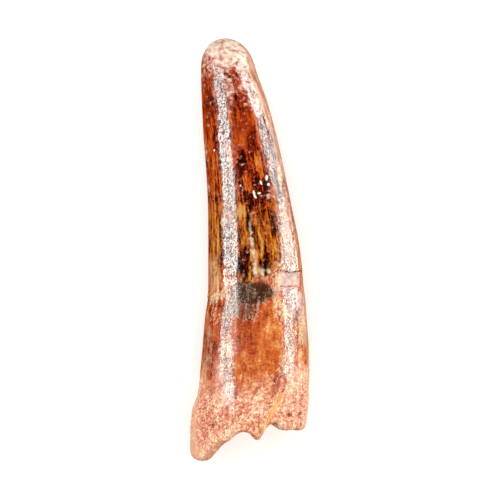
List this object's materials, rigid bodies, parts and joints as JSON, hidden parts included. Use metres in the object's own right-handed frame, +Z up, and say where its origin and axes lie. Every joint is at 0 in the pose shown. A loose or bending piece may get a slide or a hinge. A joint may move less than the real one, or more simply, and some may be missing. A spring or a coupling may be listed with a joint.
{
  "type": "fossil spinosaurus tooth",
  "caption": "Long, gently curved conical fossil tooth with a fluted enamel crown and a ragged, sandstone-filled root, lying on its side.",
  "frame": {"origin": "on the surface the tooth lies on, under the middle of its box", "axes": "+Y towards the tip, +Z up out of the side that shows, +X towards the curved front edge"},
  "size_m": [0.0254, 0.09, 0.0192],
  "materials": {
    "tooth": "glossy amber and dark brown enamel over a satin orange-pink mineralised root"
  },
  "bodies": {
    "root": {"tooth": "tooth"}
  },
  "joints": []
}
